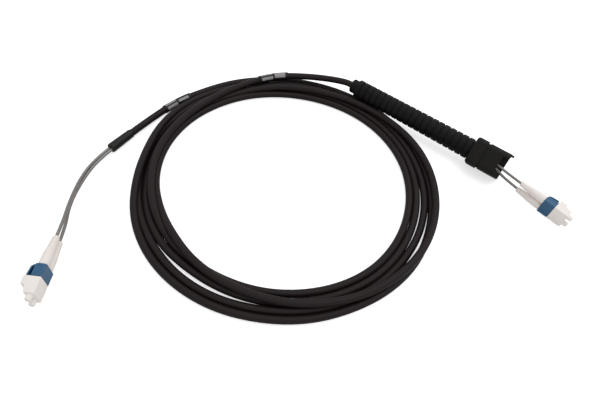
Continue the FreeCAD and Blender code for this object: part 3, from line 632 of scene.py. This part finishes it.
def plug_housing():
    """Square plug front with a bevelled nose, round ferrule bore and square cavity."""
    side, front, rear, seat, cavity, bore = 4.52, 8.8, -6.5, 4.7, 3.1, 1.2
    nose_round, edge_round = 0.5, 0.18
    shape = block(front, rear, side, side)
    nose = next(face for face in shape.faces if face.normal.x > 0.9)
    round_off(shape, nose.edges, nose_round, 2)
    round_off(shape, along_x(steep_edges(shape)), edge_round, 2)
    ends = {}
    for face in shape.faces:
        if abs(face.normal.x) > 0.99:
            ends["front" if face.normal.x > 0 else "rear"] = face
    loops = {name: list(face.edges) for name, face in ends.items()}
    bmesh.ops.delete(shape, geom=list(ends.values()), context="FACES_ONLY")
    mouth = bmesh.ops.create_circle(shape, segments=24, radius=bore,
                                    matrix=Matrix.Translation((front, 0, 0)) @ ACROSS)
    ring = edges_at(mouth["verts"])
    bmesh.ops.bridge_loops(shape, edges=loops["front"] + ring)
    ring = ring_on(shape, ring, x=seat)[1]
    room = bmesh.ops.create_circle(shape, segments=4, radius=cavity / math.sqrt(2),
                                   matrix=Matrix.Translation((seat, 0, 0))
                                   @ Matrix.Rotation(math.pi / 4, 4, "X") @ ACROSS)
    square = edges_at(room["verts"])
    bmesh.ops.bridge_loops(shape, edges=ring + square)
    square = ring_on(shape, square, x=rear)[1]
    bmesh.ops.bridge_loops(shape, edges=loops["rear"] + square)
    return shape


def ferrule():
    """Ceramic ferrule with a bevelled tip, its flange and the stem that guides the spring."""
    return turned_piece([
        (11.2, 0.0625), (11.2, 0.45), (11.02, 0.625), (4.75, 0.625), (4.7, 1.25), (4.6, 1.3),
        (3.5, 1.3), (3.4, 1.25), (3.4, 0.55), (-0.9, 0.55), (-0.9, 0.0625)], 32)


def ferrule_spring():
    """Helical wire between the rear body and the ferrule's flange."""
    wire, radius, rear, front, turns, steps, lead = 0.3, 1.05, -2.0, 3.2, 3, 24, 0.08
    shape = bmesh.new()
    made = bmesh.ops.create_circle(
        shape, cap_ends=True, segments=10, radius=wire / 2,
        matrix=Matrix.Translation((rear, radius, 0)) @ Matrix.Rotation(lead, 4, "Y"))
    faces = list({face for vert in made["verts"] for face in vert.link_faces})
    bmesh.ops.spin(shape, geom=faces, cent=(0, 0, 0), axis=(1, 0, 0), angle=math.tau * turns,
                   steps=steps * turns, dvec=((front - rear) / (steps * turns), 0, 0))
    return shape


def latch_arm():
    """Springy arm that rises rearwards, with its two locking lugs."""
    root, high, end, top, thick, base = 6.2, 3.1, -1.4, 5.1, 0.8, 2.41
    arm_width, lug_width, lug_front, lug_rear, edge_round = 2.6, 4.3, 3.4, 2.0, 0.12
    shape = side_cut([(root, base), (root, high), (end, top), (end, top - thick),
                      (root - 1.0, base)], arm_width)
    round_off(shape, steep_edges(shape, 40.0), edge_round, 2)
    slope = (top - high) / (root - end)
    lug = side_cut([(place, high + slope * (root - place) - sink) for place, sink in
                    ((lug_front, thick), (lug_front, 0.1), (lug_rear, 0.1), (lug_rear, thick))],
                   lug_width)
    round_off(lug, steep_edges(lug, 40.0), edge_round, 2)
    join_in(shape, lug)
    return shape


def duplex_clip():
    """Clip round both plugs: rounded block with two square windows and a panel on each side."""
    front, rear, half_wide, half_high, corner, window = -0.3, -7.9, 6.2, 3.01, 0.6, 2.31
    panel_margin, panel_slope, panel_depth = 0.9, 0.18, 0.22
    inner, outer = PITCH / 2 - window, PITCH / 2 + window
    shape = block(front, rear, 2 * half_wide, 2 * half_high)
    round_off(shape, along_x(shape.edges), corner, 3)
    for place in (-outer, -inner, inner, outer):
        split_at(shape, (0, place, 0), (0, 1, 0))
    for place in (-window, window):
        split_at(shape, (0, 0, place), (0, 0, 1))
    for side in (-1.0, 1.0):
        facing = [face for face in shape.faces if abs(face.normal.x) > 0.99
                  and abs(face.calc_center_median().y - side * PITCH / 2) < 0.5
                  and abs(face.calc_center_median().z) < 0.5]
        edges = [edge for face in facing for edge in face.edges]
        bmesh.ops.delete(shape, geom=facing, context="FACES_ONLY")
        bmesh.ops.bridge_loops(shape, edges=edges)
    bmesh.ops.recalc_face_normals(shape, faces=shape.faces)
    for side in (-1.0, 1.0):
        panel = [face for face in shape.faces if face.normal.y * side > 0.99
                 and abs(face.calc_center_median().y - side * half_wide) < NEAR
                 and abs(face.calc_center_median().z) < 1.0]
        bmesh.ops.inset_region(shape, faces=panel, thickness=panel_margin, depth=0.0,
                               use_even_offset=True)
        bmesh.ops.inset_region(shape, faces=panel, thickness=panel_slope, depth=-panel_depth,
                               use_even_offset=True)
    return shape


def release_trigger():
    """Arched lever: upright foot, round bend and a flat that slopes up to the tip, with ridges."""
    foot, rear, thick, bend, tip, high, width = 3.16, -7.9, 0.9, 5.5, -0.7, 6.2, 9.4
    outer_bend, inner_bend, edge_round = 2.4, 1.5, 0.2
    ridges, first_ridge, ridge_pitch, ridge_width, ridge_round = 3, 0.7, 0.75, 7.4, 0.06
    shape = side_cut([(rear, foot), (rear, bend), (tip, high), (tip, high - thick),
                      (rear + thick, bend - thick), (rear + thick, foot)], width)
    round_off(shape, cross_edges(shape, rear, bend), outer_bend, 8)
    round_off(shape, cross_edges(shape, rear + thick, bend - thick), inner_bend, 6)
    round_off(shape, steep_edges(shape, 60.0), edge_round, 2)
    slope = (high - bend) / (tip - rear)
    for number in range(ridges):
        place = tip - first_ridge - ridge_pitch * number
        height = high - slope * (tip - place)
        ridge = side_cut([(place - 0.2, height - 0.15), (place - 0.12, height + 0.14),
                          (place + 0.12, height + 0.16), (place + 0.2, height - 0.12)], ridge_width)
        round_off(ridge, steep_edges(ridge, 40.0), ridge_round, 2)
        join_in(shape, ridge)
    return shape


def dust_cap():
    """Cap over both plug fronts: sloping top, high rear rim, hollow inside and two round noses."""
    length, step, floor, rim, high, low = 10.0, 5.3, -3.02, 6.5, 4.35, 2.95
    width, wall, edge_round, half_bay, bay_end = 12.3, 0.7, 0.5, 2.32, 9.0
    shape = side_cut([(0.0, floor), (length, floor), (length, low), (step, high), (step, rim),
                      (0.0, rim)], width)
    rear_face = next(face for face in shape.faces if face.normal.x < -0.99)
    kept_sharp = cross_edges(shape, step, high)
    rounded = [edge for edge in steep_edges(shape, 5.0)
               if rear_face not in edge.link_faces and edge not in kept_sharp]
    round_off(shape, rounded, edge_round, 3)
    rear_face = max((face for face in shape.faces if face.normal.x < -0.99),
                    key=lambda face: face.calc_area())
    half_room = PITCH / 2 + half_bay
    bmesh.ops.inset_region(shape, faces=[rear_face], thickness=wall, depth=0.0,
                           use_even_offset=True)
    for place, top in ((0.0, rim - wall), (step - wall, rim - wall), (step - wall, high - wall),
                       (step, high - wall), (bay_end, half_bay)):
        if place:
            grown = bmesh.ops.extrude_face_region(shape, geom=[rear_face])["geom"]
            rear_face = faces_of(grown)[0]
        middle = rear_face.calc_center_median().z
        for vert in rear_face.verts:
            vert.co.x = place
            vert.co.y = math.copysign(half_room, vert.co.y)
            vert.co.z = top if vert.co.z > middle else -half_bay
    for side in (-1.0, 1.0):
        join_in(shape, cap_nose(), Matrix.Translation((0, side * PITCH / 2, 0)))
    return shape


def cap_nose():
    """Round nose on the cap's front, with a dimple in its end."""
    return turned_piece([
        (9.6, 1.95), (10.6, 1.95), (10.8, 1.85), (12.7, 1.8), (13.1, 1.62), (13.3, 1.3),
        (13.3, 0.95), (12.9, 0.85), (12.9, 0.02), (9.6, 0.02)], 32)


for letter, (spot, heading, up) in PLUGS.items():
    plug_frame = frame_at(spot, heading, up)
    for half, side in HALVES.items():
        seat = plug_frame @ Matrix.Translation((0, side * up * PITCH / 2, 0))
        tag = f"{letter}_{half}"
        hand_in(f"relief_boot_{tag}", strain_relief(), seat, RELIEF, ROOT, "relief_white",
                f"strain_relief_{tag}")
        hand_in(f"plug_front_{tag}", plug_housing(), seat, BLUE, ROOT, "plug_blue",
                f"plug_housing_{tag}")
        hand_in(f"ferrule_pin_{tag}", ferrule(), seat, CERAMIC, f"ferrule_{tag}", "ferrule_white",
                f"ferrule_{tag}")
        coil_spring = hand_in(f"spring_{tag}", ferrule_spring(), seat, STEEL, ROOT, "spring_steel",
                              f"ferrule_spring_{tag}")
        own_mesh(coil_spring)
        hand_in(f"latch_{tag}", latch_arm(), seat, BLUE, f"latches_{letter}", "plug_blue",
                f"latch_arm_{tag}")
        for node, finish in ((f"rear_body_{tag}", REAR), (f"crimp_sleeve_{tag}", BRASS)):
            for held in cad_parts[node].material_slots:
                held.material = finish
    hand_in(f"clip_{letter}", duplex_clip(), plug_frame, BLUE, ROOT, "plug_blue",
            f"duplex_clip_{letter}")
    hand_in(f"trigger_{letter}", release_trigger(), plug_frame, BLUE, f"trigger_{letter}",
            "plug_blue", f"release_trigger_{letter}")
    hand_in(f"cap_{letter}", dust_cap(), plug_frame, CAP, f"cap_{letter}", "cap_white",
            f"dust_cap_{letter}")


# Floor, light and camera

FLOOR_RADIUS = 3.0
FLOOR_GREY = 0.86
FLOOR_GLOW = 0.6
SKY_AS_LIGHT, SKY_AS_SEEN = 0.62, 1.0
KEY_SPOT, KEY_AIM, KEY_SIZE, KEY_POWER = (0.30, 0.20, 1.15), (0.0, 0.0, 0.0), 1.3, 6.2
CAMERA_SPOT, CAMERA_TILT, CAMERA_ROLL = (-0.02203, -0.206127, 0.2590), 37.4, 9.3


def studio_floor():
    """Pale table that shows white to the camera where no shadow falls."""
    shape = bmesh.new()
    bmesh.ops.create_circle(shape, cap_ends=True, segments=64, radius=FLOOR_RADIUS)
    mesh = bpy.data.meshes.new("table")
    shape.to_mesh(mesh)
    shape.free()
    material = bpy.data.materials.new("table_white")
    material.use_nodes = True
    nodes, links = material.node_tree.nodes, material.node_tree.links
    shader = nodes["Principled BSDF"]
    shader.inputs["Base Color"].default_value = (FLOOR_GREY, FLOOR_GREY, FLOOR_GREY, 1.0)
    shader.inputs["Roughness"].default_value = 0.9
    shader.inputs["Specular IOR Level"].default_value = 0.0
    shader.inputs["Emission Color"].default_value = (1.0, 1.0, 1.0, 1.0)
    seen = nodes.new("ShaderNodeLightPath")
    glow = nodes.new("ShaderNodeMath")
    glow.operation = "MULTIPLY"
    glow.inputs[1].default_value = FLOOR_GLOW
    links.new(seen.outputs["Is Camera Ray"], glow.inputs[0])
    links.new(glow.outputs[0], shader.inputs["Emission Strength"])
    mesh.materials.append(material)
    floor = bpy.data.objects.new("table", mesh)
    bpy.context.scene.collection.objects.link(floor)


def studio_world():
    """White surroundings to the camera and in reflections, softer as a light."""
    world = bpy.data.worlds.new("studio")
    bpy.context.scene.world = world
    world.use_nodes = True
    nodes, links = world.node_tree.nodes, world.node_tree.links
    background = nodes["Background"]
    background.inputs["Color"].default_value = (1.0, 1.0, 1.0, 1.0)
    seen = nodes.new("ShaderNodeLightPath")
    mirrored = nodes.new("ShaderNodeMath")
    mirrored.operation = "MAXIMUM"
    links.new(seen.outputs["Is Glossy Ray"], mirrored.inputs[0])
    links.new(seen.outputs["Is Transmission Ray"], mirrored.inputs[1])
    shown = nodes.new("ShaderNodeMath")
    shown.operation = "MAXIMUM"
    links.new(seen.outputs["Is Camera Ray"], shown.inputs[0])
    links.new(mirrored.outputs[0], shown.inputs[1])
    level = nodes.new("ShaderNodeMapRange")
    level.inputs["To Min"].default_value = SKY_AS_LIGHT
    level.inputs["To Max"].default_value = SKY_AS_SEEN
    links.new(shown.outputs[0], level.inputs["Value"])
    links.new(level.outputs["Result"], background.inputs["Strength"])


def soft_light(name, spot, aim, size, power):
    """Square area light turned towards a point."""
    lamp = bpy.data.lights.new(name, "AREA")
    lamp.shape = "SQUARE"
    lamp.size = size
    lamp.energy = power
    light = bpy.data.objects.new(name, lamp)
    light.location = spot
    light.rotation_euler = (Vector(aim) - Vector(spot)).to_track_quat("-Z", "Y").to_euler()
    bpy.context.scene.collection.objects.link(light)


studio_floor()
studio_world()
soft_light("key_light", KEY_SPOT, KEY_AIM, KEY_SIZE, KEY_POWER)

lens = bpy.data.cameras.new("photo_view")
lens.lens = 28.8
lens.sensor_width = 36.0
lens.sensor_fit = "HORIZONTAL"
lens.clip_start = 0.01
camera = bpy.data.objects.new("photo_view", lens)
camera.matrix_world = (Matrix.Translation(CAMERA_SPOT)
                       @ Matrix.Rotation(math.radians(CAMERA_TILT), 4, "X")
                       @ Matrix.Rotation(math.radians(CAMERA_ROLL), 4, "Z"))
bpy.context.scene.collection.objects.link(camera)
bpy.context.scene.camera = camera
bpy.context.scene.view_settings.view_transform = "Standard"
